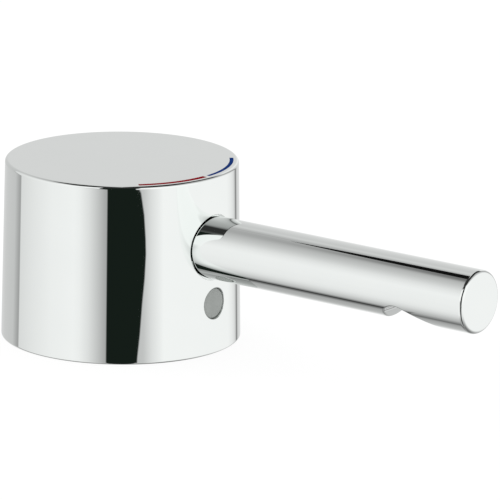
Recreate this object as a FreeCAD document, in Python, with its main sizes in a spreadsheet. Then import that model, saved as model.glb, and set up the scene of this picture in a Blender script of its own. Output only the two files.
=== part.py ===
import FreeCAD, Part
import math
import os

import Sketcher

# Handle of a single-lever mixer tap: a die-cast drum with a pin lever, its set
# screw, the plug over the screw and the two temperature marks.
# Millimetres and degrees. +Z is up and the lever points along +X.
# The origin is on the drum's axis, in the plane of its rim.

SIZES = {
    # Drum: a shallow cone with a closed flat top
    "drum_base_d": 46.0,
    "drum_height": 34.5,
    "drum_draft": 1.1,
    "drum_wall": 2.8,
    "drum_top_wall": 3.0,
    "top_edge_r": 0.6,
    "base_edge_bevel": 0.4,
    "ceiling_corner_bevel": 1.5,
    # Register bore at the mouth, a step wider than the hollow, over the valve's collar
    "register_step": 0.2,
    "register_length": 4.0,
    # Pin lever
    "lever_d": 12.0,
    "lever_height": 20.8,
    "lever_reach": 84.3,
    "lever_line_width": 0.28,
    "lever_line_depth": 1.55,
    "lever_tip_r": 0.75,
    # Finger notch under the lever's end: a steep wall and a long ramp
    "notch_land": 5.9,
    "notch_length": 13.8,
    "notch_ramp_angle": 20.8,
    "notch_wall_angle": 65.0,
    "notch_corner_r": 3.7,
    "notch_edge_r": 0.5,
    # Boss with the square socket for the valve's stem
    "boss_d": 17.0,
    "boss_lift": 4.2,
    "stem_width": 8.0,
    "stem_clearance": 0.1,
    "socket_depth": 20.8,
    # Gussets between the boss and the wall
    "gusset_thickness": 2.0,
    "gusset_drop": 7.0,
    # Set screw with hexagon socket and cup point
    "screw_height": 9.8,
    "screw_d": 5.0,
    "screw_length": 8.0,
    "screw_chamfer": 0.5,
    "screw_setback": 0.4,
    "screw_clearance": 0.05,
    "cup_d": 2.5,
    "cup_depth": 0.6,
    "hex_width": 2.5,
    "hex_depth": 3.0,
    "web_wall": 2.4,
    # Plug over the screw
    "plug_hole_d": 6.0,
    "plug_hole_bevel": 0.2,
    "plug_clearance": 0.05,
    "plug_recess": 0.35,
    "plug_edge_r": 0.25,
    "plug_head": 1.8,
    "plug_length": 6.0,
    "plug_skirt_wall": 0.9,
    "plug_slit": 0.8,
    "screw_to_plug_seat": 1.0,
    # Temperature marks: enamel in arc grooves near the edge of the top
    "mark_inset": 1.45,
    "hot_width": 1.1,
    "cold_width": 0.75,
    "mark_depth": 0.3,
    "hot_start_angle": -42.8,
    "hot_end_angle": -2.9,
    "cold_start_angle": -0.4,
    "cold_end_angle": 42.0,
    "enamel_clearance": 0.01,
    # How far a cut runs past the surface that it opens
    "overrun": 1.0,
}

# Places worked out from the sizes, as expressions
DRUM_R = "Sizes.drum_base_d / 2"
DRAFT = "tan(Sizes.drum_draft * 1deg)"
TOP_R = f"({DRUM_R} - Sizes.drum_height * {DRAFT})"
CEILING = "(Sizes.drum_height - Sizes.drum_top_wall)"
HOLLOW_TOP_R = f"({DRUM_R} - Sizes.drum_wall - {CEILING} * {DRAFT})"
IN_TOP_WALL = f"({CEILING} + Sizes.drum_top_wall / 2)"
IN_DRUM_WALL = f"({TOP_R} - Sizes.drum_wall / 2)"
LEVER_SEAT = f"({DRUM_R} - Sizes.lever_line_depth)"
LEVER_BOTTOM = "(Sizes.lever_height - Sizes.lever_d / 2)"
NOTCH_END = "(Sizes.lever_reach - Sizes.notch_land)"
NOTCH_WALL = f"({NOTCH_END} - Sizes.notch_length)"
NOTCH_WALL_SLOPE = "tan(Sizes.notch_wall_angle * 1deg)"
NOTCH_RAMP_SLOPE = "tan(Sizes.notch_ramp_angle * 1deg)"
SOCKET_WIDTH = "(Sizes.stem_width + 2 * Sizes.stem_clearance)"
SCREW_TIP = f"({SOCKET_WIDTH} / 2 + Sizes.screw_setback)"
SCREW_END = f"({SCREW_TIP} + Sizes.screw_length)"
SCREW_R = "Sizes.screw_d / 2"
PLUG_SEAT = f"({SCREW_END} + Sizes.screw_to_plug_seat)"
WEB_R = "(Sizes.plug_hole_d / 2 + Sizes.web_wall)"
PLUG_FACE = f"({DRUM_R} - Sizes.screw_height * {DRAFT} - Sizes.plug_recess)"
PLUG_R = "(Sizes.plug_hole_d / 2 - Sizes.plug_clearance)"
MARK_R = f"({TOP_R} - Sizes.mark_inset)"

doc = FreeCAD.newDocument("tap_handle")
sheet = doc.addObject("Spreadsheet::Sheet", "Sizes")
for row, (alias, number) in enumerate(SIZES.items(), start=1):
    sheet.set(f"A{row}", alias)
    sheet.set(f"B{row}", str(number))
    sheet.setAlias(f"B{row}", alias)
doc.recompute()


def value(expression):
    """The number that an expression of the sheet gives."""
    return float(sheet.evalExpression(expression))


def new_body(label):
    body = doc.addObject("PartDesign::Body", label)
    body.Label = label
    return body


def origin_feature(body, role):
    return next(f for f in body.Origin.OriginFeatures if f.Role == role)


def new_sketch(body, name, role, offset=None):
    """A sketch on one of the body's own planes, set off along its normal or in its plane."""
    sketch = body.newObject("Sketcher::SketchObject", name)
    sketch.AttachmentSupport = (origin_feature(body, role), [""])
    sketch.MapMode = "FlatFace"
    for path, expression in (offset or {}).items():
        sketch.setExpression(f"AttachmentOffset.{path}", expression)
    return sketch


def pin(sketch, geometry, point, x, y):
    """Ties a point of the sketch to the sheet; an expression of 0 puts it on that axis."""
    for kind, expression, axis in (("DistanceX", x, -2), ("DistanceY", y, -1)):
        if expression == "0":
            sketch.addConstraint(Sketcher.Constraint("PointOnObject", geometry, point, axis))
            continue
        distance = Sketcher.Constraint(kind, -1, 1, geometry, point, value(expression))
        index = sketch.addConstraint(distance)
        sketch.setExpression(f"Constraints[{index}]", expression)


def outline(sketch, corners):
    """A closed run of straight lines through corners given as pairs of expressions."""
    points = [FreeCAD.Vector(value(x), value(y), 0) for x, y in corners]
    count = len(points)
    for i in range(count):
        sketch.addGeometry(Part.LineSegment(points[i], points[(i + 1) % count]), False)
    for i in range(count):
        sketch.addConstraint(Sketcher.Constraint("Coincident", i, 2, (i + 1) % count, 1))
    for i, (x, y) in enumerate(corners):
        pin(sketch, i, 1, x, y)


def disc(sketch, x, y, diameter):
    """A circle of the given diameter, all given as expressions."""
    centre = FreeCAD.Vector(value(x), value(y), 0)
    circle = Part.Circle(centre, FreeCAD.Vector(0, 0, 1), value(diameter) / 2)
    index = sketch.addGeometry(circle, False)
    pin(sketch, index, 3, x, y)
    size = sketch.addConstraint(Sketcher.Constraint("Diameter", index, value(diameter)))
    sketch.setExpression(f"Constraints[{size}]", diameter)


def extrude(body, kind, name, sketch, length, reverse=False, midplane=False):
    """A Pad or a Pocket; a Pocket has to take material away."""
    before = body.Shape.Volume if kind == "Pocket" else None
    feature = body.newObject(f"PartDesign::{kind}", name)
    feature.Profile = sketch
    feature.setExpression("Length", length)
    feature.Reversed = reverse
    feature.Midplane = midplane
    doc.recompute()
    if kind == "Pocket" and body.Shape.Volume >= before:
        raise RuntimeError(f"{name} cuts nothing")
    return feature


def revolve(body, kind, name, sketch, axis, angle="360"):
    """A Revolution or a Groove about one of the sketch's axes; a Groove has to cut."""
    before = body.Shape.Volume if kind == "Groove" else None
    feature = body.newObject(f"PartDesign::{kind}", name)
    feature.Profile = sketch
    feature.ReferenceAxis = (sketch, [axis])
    feature.setExpression("Angle", f"{angle} * 1deg")
    doc.recompute()
    if kind == "Groove" and body.Shape.Volume >= before:
        raise RuntimeError(f"{name} cuts nothing")
    return feature


def dress_edges(body, kind, name, size, wanted):
    """A Fillet or a Chamfer on the edges of the body that pass a test of their shape."""
    base = body.Tip
    names = [f"Edge{i}" for i, edge in enumerate(base.Shape.Edges, start=1) if wanted(edge)]
    if not names:
        raise RuntimeError(f"{name} finds no edge")
    feature = body.newObject(f"PartDesign::{kind}", name)
    feature.Base = (base, names)
    feature.setExpression("Radius" if kind == "Fillet" else "Size", size)
    doc.recompute()


def near(a, b):
    return abs(a - b) < 1e-4


def is_ring(edge, radius, height):
    """True for a circle of that radius about the drum's axis, at that height."""
    if not isinstance(edge.Curve, Part.Circle):
        return False
    centre = edge.Curve.Center
    on_axis = near(centre.x, 0) and near(centre.y, 0) and near(centre.z, value(height))
    return on_axis and near(edge.Curve.Radius, value(radius))


# Drum and pin lever: one casting, open below

casting = new_body("handle_casting")

drum_profile = new_sketch(casting, "drum_profile", "XZ_Plane")
outline(drum_profile, [
    ("0", "0"),
    (DRUM_R, "0"),
    (TOP_R, "Sizes.drum_height"),
    ("0", "Sizes.drum_height"),
])
revolve(casting, "Revolution", "drum_blank", drum_profile, "V_Axis")

# A shallow seat a little wider than the lever leaves a fine line round its root
seat_section = new_sketch(casting, "seat_section", "YZ_Plane", {"Base.z": LEVER_SEAT})
disc(seat_section, "0", "Sizes.lever_height", "Sizes.lever_d + 2 * Sizes.lever_line_width")
extrude(casting, "Pocket", "lever_seat", seat_section,
        "Sizes.lever_line_depth + Sizes.overrun", reverse=True)

lever_section = new_sketch(casting, "lever_section", "YZ_Plane")
disc(lever_section, "0", "Sizes.lever_height", "Sizes.lever_d")
extrude(casting, "Pad", "lever", lever_section, "Sizes.lever_reach")


def is_lever_tip(edge):
    box = edge.BoundBox
    return near(box.XMin, value("Sizes.lever_reach")) and near(box.XMin, box.XMax)


dress_edges(casting, "Fillet", "lever_tip", "Sizes.lever_tip_r", is_lever_tip)
dress_edges(casting, "Fillet", "top_edge", "Sizes.top_edge_r",
            lambda edge: is_ring(edge, TOP_R, "Sizes.drum_height"))
dress_edges(casting, "Chamfer", "base_edge", "Sizes.base_edge_bevel",
            lambda edge: is_ring(edge, DRUM_R, "0"))

# Hollow of the drum, an even wall inside the outer cone
hollow_profile = new_sketch(casting, "hollow_profile", "XZ_Plane")
outline(hollow_profile, [
    ("0", "-Sizes.overrun"),
    (f"{DRUM_R} - Sizes.drum_wall + Sizes.overrun * {DRAFT}", "-Sizes.overrun"),
    (HOLLOW_TOP_R, CEILING),
    ("0", CEILING),
])
revolve(casting, "Groove", "hollow", hollow_profile, "V_Axis")
dress_edges(casting, "Chamfer", "ceiling_corner", "Sizes.ceiling_corner_bevel",
            lambda edge: is_ring(edge, HOLLOW_TOP_R, CEILING))

register_section = new_sketch(casting, "register_section", "XY_Plane")
disc(register_section, "0", "0", f"2 * ({DRUM_R} - Sizes.drum_wall + Sizes.register_step)")
extrude(casting, "Pocket", "register_bore", register_section, "Sizes.register_length", reverse=True)

# Boss for the stem, hanging from the closed top
boss_section = new_sketch(casting, "boss_section", "XY_Plane", {"Base.z": "Sizes.boss_lift"})
disc(boss_section, "0", "0", "Sizes.boss_d")
extrude(casting, "Pad", "boss", boss_section, f"{IN_TOP_WALL} - Sizes.boss_lift")

# Web between the boss and the wall under the lever: it holds the screw, and
# its lower edge is round about the screw's axis
web_section = new_sketch(casting, "web_section", "YZ_Plane")
half_width = value(WEB_R)
axis_height = value("Sizes.screw_height")
top_height = value(IN_TOP_WALL)
lower_edge = Part.ArcOfCircle(
    Part.Circle(FreeCAD.Vector(0, axis_height, 0), FreeCAD.Vector(0, 0, 1), half_width),
    math.pi, 2 * math.pi)
web_corners = [
    FreeCAD.Vector(half_width, axis_height, 0),
    FreeCAD.Vector(half_width, top_height, 0),
    FreeCAD.Vector(-half_width, top_height, 0),
    FreeCAD.Vector(-half_width, axis_height, 0),
]
web_section.addGeometry(lower_edge, False)
for start, end in zip(web_corners, web_corners[1:]):
    web_section.addGeometry(Part.LineSegment(start, end), False)
for first, second in ((0, 1), (1, 2), (2, 3)):
    web_section.addConstraint(Sketcher.Constraint("Coincident", first, 2, second, 1))
web_section.addConstraint(Sketcher.Constraint("Coincident", 3, 2, 0, 1))
pin(web_section, 0, 3, "0", "Sizes.screw_height")
pin(web_section, 1, 1, WEB_R, "Sizes.screw_height")
pin(web_section, 1, 2, WEB_R, IN_TOP_WALL)
pin(web_section, 2, 2, f"-{WEB_R}", IN_TOP_WALL)
web_section.addConstraint(Sketcher.Constraint("Vertical", 3))
web_section.addConstraint(Sketcher.Constraint("Tangent", 3, 0))
extrude(casting, "Pad", "screw_web", web_section, IN_DRUM_WALL)

# Gussets that stiffen the top on the other three sides
gusset_section = new_sketch(casting, "gusset_section", "XZ_Plane")
outline(gusset_section, [
    ("-Sizes.gusset_thickness / 2", f"{CEILING} - Sizes.gusset_drop"),
    ("Sizes.gusset_thickness / 2", f"{CEILING} - Sizes.gusset_drop"),
    ("Sizes.gusset_thickness / 2", IN_TOP_WALL),
    ("-Sizes.gusset_thickness / 2", IN_TOP_WALL),
])
gusset = extrude(casting, "Pad", "gusset", gusset_section, IN_DRUM_WALL, reverse=True)
gussets = casting.newObject("PartDesign::PolarPattern", "gussets")
gussets.Originals = [gusset]
gussets.Axis = (origin_feature(casting, "Z_Axis"), [""])
gussets.Angle = 180
gussets.Occurrences = 3
casting.Tip = gussets
doc.recompute()

# The socket is cut from the rim plane up, so that its mouth is clear below the boss
socket_section = new_sketch(casting, "socket_section", "XY_Plane")
outline(socket_section, [
    (f"-{SOCKET_WIDTH} / 2", f"-{SOCKET_WIDTH} / 2"),
    (f"{SOCKET_WIDTH} / 2", f"-{SOCKET_WIDTH} / 2"),
    (f"{SOCKET_WIDTH} / 2", f"{SOCKET_WIDTH} / 2"),
    (f"-{SOCKET_WIDTH} / 2", f"{SOCKET_WIDTH} / 2"),
])
extrude(casting, "Pocket", "stem_socket", socket_section,
        "Sizes.boss_lift + Sizes.socket_depth", reverse=True)

# Screw hole out of the socket, and the wider hole that takes the plug
screw_hole_section = new_sketch(casting, "screw_hole_section", "YZ_Plane")
disc(screw_hole_section, "0", "Sizes.screw_height", "Sizes.screw_d + 2 * Sizes.screw_clearance")
extrude(casting, "Pocket", "screw_hole", screw_hole_section, PLUG_SEAT, reverse=True)

plug_hole_section = new_sketch(casting, "plug_hole_section", "YZ_Plane", {"Base.z": PLUG_SEAT})
disc(plug_hole_section, "0", "Sizes.screw_height", "Sizes.plug_hole_d")
extrude(casting, "Pocket", "plug_hole", plug_hole_section,
        f"{DRUM_R} + Sizes.overrun - {PLUG_SEAT}", reverse=True)


def is_plug_hole_edge(edge):
    """True for the rim of the plug's hole in the drum's wall."""
    box = edge.BoundBox
    tall = near(box.ZMax - box.ZMin, value("Sizes.plug_hole_d"))
    return tall and box.XMin > value(PLUG_SEAT) + 1e-3


dress_edges(casting, "Chamfer", "plug_hole_edge", "Sizes.plug_hole_bevel", is_plug_hole_edge)

# Finger notch: the steep wall faces the tip, and the ramp runs out before it
notch_profile = new_sketch(casting, "notch_profile", "XZ_Plane")
NOTCH_RISE = (f"(Sizes.notch_length * {NOTCH_WALL_SLOPE} * {NOTCH_RAMP_SLOPE}"
              f" / ({NOTCH_WALL_SLOPE} + {NOTCH_RAMP_SLOPE}))")
outline(notch_profile, [
    (f"{NOTCH_WALL} - Sizes.overrun / {NOTCH_WALL_SLOPE}", f"{LEVER_BOTTOM} - Sizes.overrun"),
    (f"{NOTCH_END} + Sizes.overrun / {NOTCH_RAMP_SLOPE}", f"{LEVER_BOTTOM} - Sizes.overrun"),
    (f"{NOTCH_WALL} + {NOTCH_RISE} / {NOTCH_WALL_SLOPE}", f"{LEVER_BOTTOM} + {NOTCH_RISE}"),
])
extrude(casting, "Pocket", "finger_notch", notch_profile,
        "Sizes.lever_d + 2 * Sizes.overrun", midplane=True)


def is_notch_corner(edge):
    """True for the straight inner corner of the notch, across the lever."""
    box = edge.BoundBox
    across = isinstance(edge.Curve, Part.Line) and near(box.XMin, box.XMax) and near(box.ZMin, box.ZMax)
    return across and box.XMin > value(NOTCH_WALL)


dress_edges(casting, "Fillet", "notch_corner", "Sizes.notch_corner_r", is_notch_corner)


def is_notch_edge(edge):
    """True for the rim that the notch leaves in the round of the lever."""
    middle = edge.valueAt((edge.FirstParameter + edge.LastParameter) / 2)
    from_axis = math.hypot(middle.y, middle.z - value("Sizes.lever_height"))
    on_surface = abs(from_axis - value("Sizes.lever_d") / 2) < 1e-3
    within = value(NOTCH_WALL) - 1e-3 < middle.x < value(NOTCH_END) + 1e-3
    straight = isinstance(edge.Curve, Part.Line)
    return on_surface and within and not straight


dress_edges(casting, "Fillet", "notch_edge", "Sizes.notch_edge_r", is_notch_edge)


def mark_section(body, name, start_angle, width, side_gap):
    """Section of an arc mark, in the plane of the drum's axis where the arc starts."""
    sketch = new_sketch(body, name, "XZ_Plane")
    sketch.AttachmentOffset = FreeCAD.Placement(
        FreeCAD.Vector(0, 0, 0), FreeCAD.Rotation(FreeCAD.Vector(0, 1, 0), 0))
    sketch.setExpression("AttachmentOffset.Rotation.Angle", f"{start_angle} * 1deg")
    inner = f"{MARK_R} - {width} / 2 + {side_gap}"
    outer = f"{MARK_R} + {width} / 2 - {side_gap}"
    floor = "Sizes.drum_height - Sizes.mark_depth"
    outline(sketch, [
        (inner, floor),
        (outer, floor),
        (outer, "Sizes.drum_height"),
        (inner, "Sizes.drum_height"),
    ])
    return sketch


# Start, span and width of each mark: the hot one runs up to the lever, the cold one on from it
MARKS = {
    "hot": ("Sizes.hot_start_angle", "(Sizes.hot_end_angle - Sizes.hot_start_angle)", "Sizes.hot_width"),
    "cold": ("Sizes.cold_start_angle", "(Sizes.cold_end_angle - Sizes.cold_start_angle)", "Sizes.cold_width"),
}
for side_name, (start_angle, span, width) in MARKS.items():
    groove_section = mark_section(casting, f"{side_name}_groove_section", start_angle, width, "0")
    revolve(casting, "Groove", f"{side_name}_groove", groove_section, "V_Axis", span)

# Set screw: turned blank, hexagon socket at its outer end, cup at its point

screw = new_body("set_screw")
screw_profile = new_sketch(screw, "screw_profile", "XZ_Plane", {"Base.y": "Sizes.screw_height"})
outline(screw_profile, [
    (f"{SCREW_TIP} + Sizes.cup_depth", "0"),
    (SCREW_TIP, "Sizes.cup_d / 2"),
    (f"{SCREW_TIP} + {SCREW_R} - Sizes.cup_d / 2", SCREW_R),
    (f"{SCREW_END} - Sizes.screw_chamfer", SCREW_R),
    (SCREW_END, f"{SCREW_R} - Sizes.screw_chamfer"),
    (SCREW_END, "0"),
])
revolve(screw, "Revolution", "screw_blank", screw_profile, "H_Axis")

hex_section = new_sketch(screw, "hex_section", "YZ_Plane", {"Base.z": SCREW_END})
HEX_CORNERS = 6
corner_r = "Sizes.hex_width / 2 / cos(30deg)"
outline(hex_section, [
    (f"{corner_r} * cos({60 * i + 30}deg)", f"Sizes.screw_height + {corner_r} * sin({60 * i + 30}deg)")
    for i in range(HEX_CORNERS)
])
extrude(screw, "Pocket", "hex_socket", hex_section, "Sizes.hex_depth")

# Plug: moulded head with a hollow skirt, slit across so that it grips the hole

plug = new_body("screw_plug")
plug_profile = new_sketch(plug, "plug_profile", "XZ_Plane", {"Base.y": "Sizes.screw_height"})
PLUG_TAIL = f"({PLUG_FACE} - Sizes.plug_length)"
PLUG_BORE_R = f"({PLUG_R} - Sizes.plug_skirt_wall)"
outline(plug_profile, [
    (PLUG_FACE, "0"),
    (PLUG_FACE, PLUG_R),
    (PLUG_TAIL, PLUG_R),
    (PLUG_TAIL, PLUG_BORE_R),
    (f"{PLUG_FACE} - Sizes.plug_head", PLUG_BORE_R),
    (f"{PLUG_FACE} - Sizes.plug_head", "0"),
])
revolve(plug, "Revolution", "plug_blank", plug_profile, "H_Axis")


def is_plug_front(edge):
    box = edge.BoundBox
    return near(box.XMin, value(PLUG_FACE)) and near(box.XMax, value(PLUG_FACE))


dress_edges(plug, "Fillet", "plug_edge", "Sizes.plug_edge_r", is_plug_front)
slit_section = new_sketch(plug, "slit_section", "XZ_Plane")
outline(slit_section, [
    (f"{PLUG_TAIL} - Sizes.overrun", "Sizes.screw_height - Sizes.plug_slit / 2"),
    (f"{PLUG_FACE} - Sizes.plug_head", "Sizes.screw_height - Sizes.plug_slit / 2"),
    (f"{PLUG_FACE} - Sizes.plug_head", "Sizes.screw_height + Sizes.plug_slit / 2"),
    (f"{PLUG_TAIL} - Sizes.overrun", "Sizes.screw_height + Sizes.plug_slit / 2"),
])
extrude(plug, "Pocket", "skirt_slit", slit_section, "Sizes.plug_hole_d", midplane=True)

# Temperature marks: red and blue enamel that fills the grooves level with the top

sub_parts = [casting, screw, plug]
for side_name, (start_angle, span, width) in MARKS.items():
    mark = new_body(f"{side_name}_mark")
    section = mark_section(
        mark, f"{side_name}_enamel_section", start_angle, width, "Sizes.enamel_clearance")
    revolve(mark, "Revolution", f"{side_name}_enamel", section, "V_Axis", span)
    sub_parts.append(mark)

doc.recompute()

for item in doc.Objects:
    if "Invalid" in item.State or "Error" in item.State:
        raise RuntimeError(f"{item.Name} did not recompute: {item.State}")
for body in sub_parts:
    body.Placement = FreeCAD.Placement()
    shape = body.Shape
    if shape.isNull() or not shape.isValid() or len(shape.Solids) != 1:
        raise RuntimeError(f"{body.Label} is not one valid solid")

os.makedirs("parts", exist_ok=True)
for body in sub_parts:
    body.Shape.exportStep(f"parts/{body.Label}.step")
    print(f"{body.Label}: {body.Shape.Volume:.1f} mm3")
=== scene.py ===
import math

import bmesh
import bpy
from mathutils import Matrix, Vector


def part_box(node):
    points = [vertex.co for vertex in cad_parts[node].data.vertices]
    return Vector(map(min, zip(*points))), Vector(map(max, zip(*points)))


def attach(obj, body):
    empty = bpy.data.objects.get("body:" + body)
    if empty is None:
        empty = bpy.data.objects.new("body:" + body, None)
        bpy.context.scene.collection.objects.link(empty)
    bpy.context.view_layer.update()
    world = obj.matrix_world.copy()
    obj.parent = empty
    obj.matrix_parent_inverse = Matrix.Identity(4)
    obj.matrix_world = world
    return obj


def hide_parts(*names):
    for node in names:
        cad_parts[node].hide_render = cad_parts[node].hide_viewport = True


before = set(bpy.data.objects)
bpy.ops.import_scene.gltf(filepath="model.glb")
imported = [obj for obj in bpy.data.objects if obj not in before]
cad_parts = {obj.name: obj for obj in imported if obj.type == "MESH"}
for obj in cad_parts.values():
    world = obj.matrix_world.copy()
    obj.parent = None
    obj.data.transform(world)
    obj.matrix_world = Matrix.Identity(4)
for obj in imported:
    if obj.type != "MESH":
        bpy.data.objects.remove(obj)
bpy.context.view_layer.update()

# Handle casting: the drum and its pin lever, die cast in zinc as one piece.
# The outside is ground, polished and chrome plated. Plating hardly reaches into
# the hollow that the core leaves, so the inside keeps its dull cast skin.
MM = 0.001
casting_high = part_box("handle_casting")[1]
HEIGHT = casting_high.z
REACH = casting_high.x
DRUM_RADIUS = 23.0 * MM
DRAFT = math.radians(1.1)
TOP_EDGE = 0.6 * MM
BASE_EDGE = 0.4 * MM
DRUM_SEGMENTS = 240
ARC_STEPS = 10
# Narrow border beside each rounded edge, which keeps the faces next to it true
BORDER = 0.06 * MM
# Points this near to a surface lie on it, and rims this near to each other are one
TOUCH = BORDER / 100
MERGE = BORDER / 10


def select_only(piece):
    """Selects one piece alone, as the active one."""
    bpy.ops.object.select_all(action="DESELECT")
    piece.select_set(True)
    bpy.context.view_layer.objects.active = piece


def edit_picked(piece, mode, wanted):
    """Opens a piece in edit mode, with the faces selected that pass a test of their place."""
    select_only(piece)
    bpy.ops.object.mode_set(mode="EDIT")
    bpy.ops.mesh.select_mode(type=mode)
    bpy.ops.mesh.select_all(action="DESELECT")
    bpy.ops.object.mode_set(mode="OBJECT")
    for face in piece.data.polygons:
        face.select = wanted(face)
    bpy.ops.object.mode_set(mode="EDIT")


def face_outwards():
    """Turns all faces of the mesh in edit mode outwards, and leaves edit mode."""
    bpy.ops.mesh.select_all(action="SELECT")
    bpy.ops.mesh.normals_make_consistent(inside=False)
    bpy.ops.object.mode_set(mode="OBJECT")


def even_steps(start, end, count):
    return [start + (end - start) * i / count for i in range(count + 1)]


def arc(centre, radius, start, end, steps=ARC_STEPS):
    """Points of an arc from one angle to another, in degrees."""
    turns = [math.radians(angle) for angle in even_steps(start, end, steps)]
    return [(centre[0] + radius * math.cos(t), centre[1] + radius * math.sin(t)) for t in turns]


def turned(name, outline, segments):
    """A closed shape about Z: a disc, drawn out ring by ring along pairs of radius and height."""
    bpy.ops.object.select_all(action="DESELECT")
    bpy.ops.mesh.primitive_circle_add(
        vertices=segments, radius=outline[0][0], fill_type="NGON", location=(0, 0, outline[0][1]))
    piece = bpy.context.object
    piece.name = name
    bpy.ops.object.transform_apply()
    bpy.ops.object.mode_set(mode="EDIT")
    bpy.ops.mesh.select_all(action="SELECT")
    for (radius, height), (next_radius, next_height) in zip(outline, outline[1:]):
        rise = {"value": (0, 0, next_height - height)}
        bpy.ops.mesh.extrude_region_move(TRANSFORM_OT_translate=rise)
        share = next_radius / radius
        bpy.ops.transform.resize(value=(share, share, 1), center_override=(0, 0, next_height))
    face_outwards()
    return piece


def wall_radius(height):
    return DRUM_RADIUS - height * math.tan(DRAFT)


LEVER_RADIUS = 6.0 * MM
LEVER_HEIGHT = 20.8 * MM
PLUG_HOLE_RADIUS = 3.0 * MM
PLUG_HEIGHT = 9.8 * MM
# Windows in the wall for the lever and the plug's hole: half height, half angle, rows
LEVER_WINDOW = (7.3 * MM, 19.5, 26)
PLUG_WINDOW = (3.5 * MM, 9.0, 12)
edge_height = HEIGHT - TOP_EDGE
edge_radius = wall_radius(edge_height) - TOP_EDGE / math.cos(DRAFT)
top_arc = arc((edge_radius, edge_height), TOP_EDGE, math.degrees(DRAFT), 90)
base_radius = wall_radius(BASE_EDGE) - BASE_EDGE
base_arc = arc((base_radius, BASE_EDGE), BASE_EDGE, -90, 0)
wall_heights = [BASE_EDGE + BORDER]
for middle, (half_height, _, rows) in ((PLUG_HEIGHT, PLUG_WINDOW), (LEVER_HEIGHT, LEVER_WINDOW)):
    wall_heights += even_steps(middle - half_height, middle + half_height, rows)
wall_heights.append(top_arc[0][1] - BORDER)
drum_outline = [(base_radius - BORDER, 0.0)] + base_arc
drum_outline += [(wall_radius(height), height) for height in wall_heights]
drum_outline += top_arc + [(edge_radius - BORDER, HEIGHT)]
handle = turned("handle", drum_outline, DRUM_SEGMENTS)

# The lever stands in a window of the wall, and a fine deep line runs round its root
ROOT_LINE = 0.28 * MM
ROOT_FLOOR = 21.45 * MM
ROOT_EDGE = 0.05 * MM
TIP_EDGE = 0.75 * MM
LEVER_SEGMENTS = 104
BRIDGE_ROWS = 4
# Faces of the wall lean less than this, by the height of their normal
WALL_LEAN = 0.1


def formed_tube(name, segments, rings, place, close_end=False):
    """A tube drawn out ring by ring, whose points a rule places by turn, from 0 to 1, and ring."""
    bpy.ops.object.select_all(action="DESELECT")
    bpy.ops.mesh.primitive_circle_add(vertices=segments, radius=1.0, fill_type="NOTHING")
    piece = bpy.context.object
    piece.name = name
    bpy.ops.object.mode_set(mode="EDIT")
    bpy.ops.mesh.select_all(action="SELECT")
    for _ in range(rings - 1):
        bpy.ops.mesh.extrude_region_move(TRANSFORM_OT_translate={"value": (0, 0, 1)})
    if close_end:
        bpy.ops.mesh.edge_face_add()
    bpy.ops.object.mode_set(mode="OBJECT")
    for vertex in piece.data.vertices:
        step = round(math.atan2(vertex.co.y, vertex.co.x) / math.tau * segments) % segments
        vertex.co = place(step / segments, round(vertex.co.z))
    return piece


def on_wall(point):
    """The point of the drum's wall at the same place across and up."""
    return Vector((math.sqrt(wall_radius(point.z) ** 2 - point.y ** 2), point.y, point.z))


def open_wall(middle, window):
    """Takes the faces of a window out of the drum's wall, on the lever's side."""
    half_height, half_angle, _ = window

    def in_window(face):
        upright = abs(face.normal.z) < WALL_LEAN
        near_middle = abs(face.center.z - middle) < half_height
        bearing = math.degrees(math.atan2(face.center.y, face.center.x))
        return upright and near_middle and abs(bearing) < half_angle

    edit_picked(handle, "FACE", in_window)
    bpy.ops.mesh.delete(type="FACE")
    bpy.ops.object.mode_set(mode="OBJECT")


def edit_rims(piece):
    """Opens a piece in edit mode, with its open rims selected."""
    edit_picked(piece, "EDGE", lambda face: False)
    bpy.ops.mesh.select_non_manifold(
        extend=False, use_wire=False, use_boundary=True, use_multi_face=False,
        use_non_contiguous=False, use_verts=False)


def bridge_in(piece, rows=0, settle=None):
    """Joins a piece to the handle. Rims that meet are merged, and others are bridged with rows
    of new points, which are settled on a surface."""
    select_only(handle)
    piece.select_set(True)
    bpy.ops.object.join()
    count = len(handle.data.vertices)
    edit_rims(handle)
    if rows:
        bpy.ops.mesh.bridge_edge_loops(number_cuts=rows)
    else:
        bpy.ops.mesh.remove_doubles(threshold=MERGE)
    face_outwards()
    for vertex in handle.data.vertices[count:]:
        vertex.co = settle(vertex.co)


# Rings of the lever's root line, and places of rings along its plain part
ROOT_RINGS = 5
PLAIN_RINGS = (26.0 * MM, 44.0 * MM)
# Rows of the lever where the finger notch is let in: start, end, half width in segments, rows
NOTCH_START = 62.4 * MM
NOTCH_STOP = 82.4 * MM
NOTCH_HALF_SEGMENTS = 24
NOTCH_ROWS = 36
lever_rings = [(x, LEVER_RADIUS) for x in PLAIN_RINGS]
lever_rings += [(x, LEVER_RADIUS) for x in even_steps(NOTCH_START, NOTCH_STOP, NOTCH_ROWS)]
lever_rings.append((REACH - TIP_EDGE - BORDER, LEVER_RADIUS))
tip_arc = arc((LEVER_RADIUS - TIP_EDGE, REACH - TIP_EDGE), TIP_EDGE, 0, 90)
lever_rings += [(x, radius) for radius, x in tip_arc]
lever_rings.append((REACH, LEVER_RADIUS - TIP_EDGE - BORDER))


def round_pipe(radius, height, turn, x):
    """A point of a pipe along X, at a share of a turn from its top."""
    return Vector((x, radius * math.sin(turn * math.tau), height + radius * math.cos(turn * math.tau)))


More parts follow.
